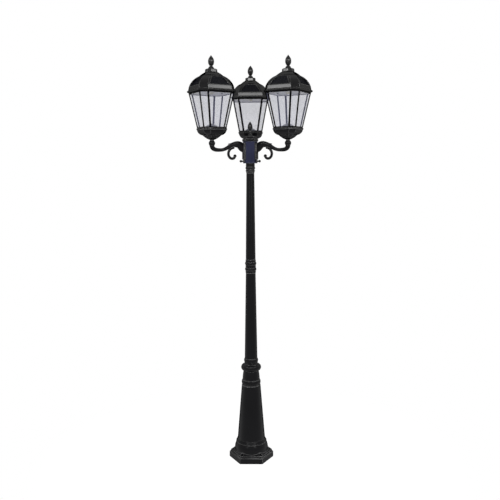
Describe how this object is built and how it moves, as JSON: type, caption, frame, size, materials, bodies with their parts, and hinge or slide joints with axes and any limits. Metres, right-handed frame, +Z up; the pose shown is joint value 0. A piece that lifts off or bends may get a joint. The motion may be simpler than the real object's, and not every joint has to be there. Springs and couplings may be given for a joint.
{
  "type": "lamp post",
  "caption": "Tall garden lamp post: moulded foot, ringed tapering pole, scrolled arms and eight-sided glazed solar lanterns with domed roofs and bud finials.",
  "frame": {"origin": "on the ground, at the centre of the anchor holes, on the post's axis", "axes": "+Z up along the post, -Y towards the front, with one arm to the rear (+Y) and the other two to the left and right of the front"},
  "size_m": [0.6608, 0.586, 2.2366],
  "materials": {
    "black_paint": "black satin paint, slightly grainy",
    "pane_glass": "clear flat glass",
    "white_plastic": "white moulded plastic",
    "solar_cells": "dark laminated cells with a fine grid and a silvery border",
    "lamp_lens": "frosted lens on a white board",
    "black_plastic": "black moulded plastic",
    "plain_steel": "plain zinc-plated steel"
  },
  "bodies": {
    "post": {"base_casting": "black_paint", "lower_pole": "black_paint", "lower_coupling": "black_paint", "upper_pole": "black_paint", "upper_coupling": "black_paint", "hub_body": "black_paint", "hub_cap": "black_paint", "arm_left": "black_paint", "arm_right": "black_paint", "arm_rear": "black_paint", "lantern_pan_left": "black_paint", "lantern_pan_right": "black_paint", "lantern_pan_rear": "black_paint", "lantern_cage_left": "black_paint", "lantern_cage_right": "black_paint", "lantern_cage_rear": "black_paint", "wide_panes_left": "pane_glass", "wide_panes_right": "pane_glass", "wide_panes_rear": "pane_glass", "corner_panes_left": "pane_glass", "corner_panes_right": "pane_glass", "corner_panes_rear": "pane_glass", "reflector_left": "white_plastic", "reflector_right": "white_plastic", "reflector_rear": "white_plastic", "stem_left": "plain_steel", "stem_right": "plain_steel", "stem_rear": "plain_steel", "arm_bolts": "plain_steel"},
    "roof_left": {"roof_left": "black_paint", "roof_crown_left": "black_paint", "solar_panels_left": "solar_cells", "ceiling_left": "white_plastic", "light_module_left": "lamp_lens", "battery_case_left": "black_plastic"},
    "finial_left": {"finial_left": "black_paint"},
    "switch_left": {"power_switch_left": "black_plastic"},
    "thumb_screw_left": {"thumb_screw_left": "black_paint"},
    "roof_right": {"roof_right": "black_paint", "roof_crown_right": "black_paint", "solar_panels_right": "solar_cells", "ceiling_right": "white_plastic", "light_module_right": "lamp_lens", "battery_case_right": "black_plastic"},
    "finial_right": {"finial_right": "black_paint"},
    "switch_right": {"power_switch_right": "black_plastic"},
    "thumb_screw_right": {"thumb_screw_right": "black_paint"},
    "roof_rear": {"roof_rear": "black_paint", "roof_crown_rear": "black_paint", "solar_panels_rear": "solar_cells", "ceiling_rear": "white_plastic", "light_module_rear": "lamp_lens", "battery_case_rear": "black_plastic"},
    "finial_rear": {"finial_rear": "black_paint"},
    "switch_rear": {"power_switch_rear": "black_plastic"},
    "thumb_screw_rear": {"thumb_screw_rear": "black_paint"},
    "hub_finial": {"hub_finial": "black_paint"}
  },
  "joints": [
    {"name": "roof_left_lift", "type": "slide", "parent": "post", "child": "roof_left", "axis": [0, 0, 1], "range_m": [0, 0.12]},
    {"name": "finial_left_turn", "type": "hinge", "parent": "roof_left", "child": "finial_left", "pos_m": [-0.20092, -0.116, 2.16], "axis": [0, 0, 1], "continuous": true},
    {"name": "switch_left_slide", "type": "slide", "parent": "roof_left", "child": "switch_left", "axis": [-0.866, -0.5, 0], "range_m": [0, 0.005]},
    {"name": "thumb_screw_left_slide", "type": "slide", "parent": "post", "child": "thumb_screw_left", "axis": [-0.866, -0.5, 0], "range_m": [0, 0.006]},
    {"name": "roof_right_lift", "type": "slide", "parent": "post", "child": "roof_right", "axis": [0, 0, 1], "range_m": [0, 0.12]},
    {"name": "finial_right_turn", "type": "hinge", "parent": "roof_right", "child": "finial_right", "pos_m": [0.20092, -0.116, 2.16], "axis": [0, 0, 1], "continuous": true},
    {"name": "switch_right_slide", "type": "slide", "parent": "roof_right", "child": "switch_right", "axis": [0.866, -0.5, 0], "range_m": [0, 0.005]},
    {"name": "thumb_screw_right_slide", "type": "slide", "parent": "post", "child": "thumb_screw_right", "axis": [0.866, -0.5, 0], "range_m": [0, 0.006]},
    {"name": "roof_rear_lift", "type": "slide", "parent": "post", "child": "roof_rear", "axis": [0, 0, 1], "range_m": [0, 0.12]},
    {"name": "finial_rear_turn", "type": "hinge", "parent": "roof_rear", "child": "finial_rear", "pos_m": [0, 0.232, 2.16], "axis": [0, 0, 1], "continuous": true},
    {"name": "switch_rear_slide", "type": "slide", "parent": "roof_rear", "child": "switch_rear", "axis": [0, 1, 0], "range_m": [0, 0.005]},
    {"name": "thumb_screw_rear_slide", "type": "slide", "parent": "post", "child": "thumb_screw_rear", "axis": [0, 1, 0], "range_m": [0, 0.006]},
    {"name": "hub_finial_turn", "type": "hinge", "parent": "post", "child": "hub_finial", "pos_m": [0, 0, 1.85], "axis": [0, 0, 1], "continuous": true}
  ]
}
